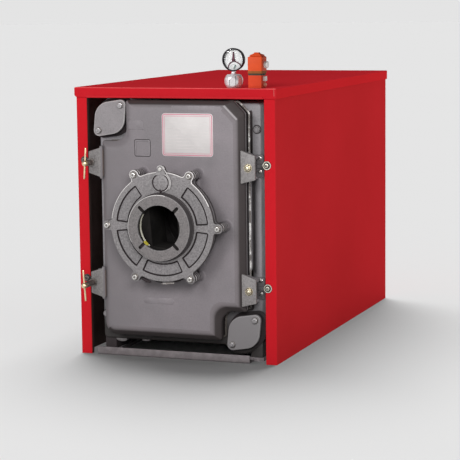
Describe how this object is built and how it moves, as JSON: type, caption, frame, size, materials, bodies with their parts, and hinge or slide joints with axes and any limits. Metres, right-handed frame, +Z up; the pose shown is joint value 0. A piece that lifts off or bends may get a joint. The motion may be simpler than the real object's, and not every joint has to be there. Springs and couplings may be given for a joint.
{
  "type": "sectional boiler",
  "caption": "Cast-iron sectional boiler in a red sheet casing, with a hinged burner door, burner flange, clamp screws, lid gauge and thermostat.",
  "frame": {"origin": "centre of the footprint at floor level", "axes": "+X to the right seen from the front, +Y from the burner door to the flue collar, +Z up"},
  "size_m": [0.598, 1.313, 0.8685],
  "materials": {
    "casing_red": "smooth semi-gloss powder coat",
    "base_steel": "dull dark paint over rolled angle",
    "section_iron": "grey primer over sand-cast iron",
    "pipe_iron": "dark threaded pipe",
    "zinc_steel": "zinc-plated fasteners",
    "chrome_steel": "bright chrome",
    "gauge_black": "black gauge case",
    "dial_white": "white printed dial, plain",
    "gauge_glass": "clear gauge window",
    "thermostat_orange": "orange moulded cover",
    "thermostat_base": "darker orange-red base",
    "white_plastic": "white cable glands",
    "door_iron": "purple-grey painted casting",
    "insulation": "ceramic fibre block",
    "rope": "woven glass rope",
    "gasket": "fibre gasket",
    "label_white": "white enamelled plate, bare",
    "brass": "dull brass",
    "screw_steel": "dark oiled steel"
  },
  "bodies": {
    "root": {"side_panel_left": "casing_red", "side_panel_right": "casing_red", "top_cover": "casing_red", "rear_panel": "casing_red", "base_rail_front": "base_steel", "base_rail_left": "base_steel", "base_rail_right": "base_steel", "base_rail_rear": "base_steel", "front_section": "section_iron", "middle_sections": "section_iron", "rear_section": "section_iron", "tie_rods": "zinc_steel", "cover_plate_top": "section_iron", "cover_plate_bottom": "section_iron", "cover_plate_bolts": "zinc_steel", "hinge_brackets": "section_iron", "hinge_pins": "zinc_steel", "latch_blocks": "section_iron", "stile_bolts": "zinc_steel", "gauge_bush": "chrome_steel", "gauge_case": "gauge_black", "gauge_dial": "dial_white", "gauge_pointers": "gauge_black", "gauge_glass": "gauge_glass", "thermostat_base": "thermostat_base", "thermostat_cover": "thermostat_orange", "cable_glands": "white_plastic", "flue_collar": "section_iron", "flow_connection": "pipe_iron", "return_connection": "pipe_iron"},
    "door": {"burner_door": "door_iron", "door_insulation": "insulation", "rope_seal": "rope", "burner_flange": "door_iron", "flange_bolts": "zinc_steel", "burner_gasket": "gasket", "label_plate": "label_white", "hinge_bolts": "brass", "cover_screw": "zinc_steel"},
    "sight_cover": {"sight_cover": "door_iron"},
    "clamp_screw_upper": {"latch_screw_upper": "screw_steel", "latch_handle_upper": "brass"},
    "clamp_screw_lower": {"latch_screw_lower": "screw_steel", "latch_handle_lower": "brass"}
  },
  "joints": [
    {"name": "door_hinge", "type": "hinge", "parent": "root", "child": "door", "pos_m": [0.226, -0.5395, 0.3765], "axis": [0, 0, 1], "range_deg": [0, 100]},
    {"name": "sight_cover_pivot", "type": "hinge", "parent": "door", "child": "sight_cover", "pos_m": [0, -0.6345, 0.545], "axis": [0, -1, 0], "range_deg": [0, 60]},
    {"name": "clamp_upper_turn", "type": "hinge", "parent": "door", "child": "clamp_screw_upper", "pos_m": [-0.2415, -0.5995, 0.552], "axis": [0, -1, 0], "range_deg": [0, 720]},
    {"name": "clamp_lower_turn", "type": "hinge", "parent": "door", "child": "clamp_screw_lower", "pos_m": [-0.2415, -0.6205, 0.2115], "axis": [0, -1, 0], "range_deg": [0, 720]}
  ]
}
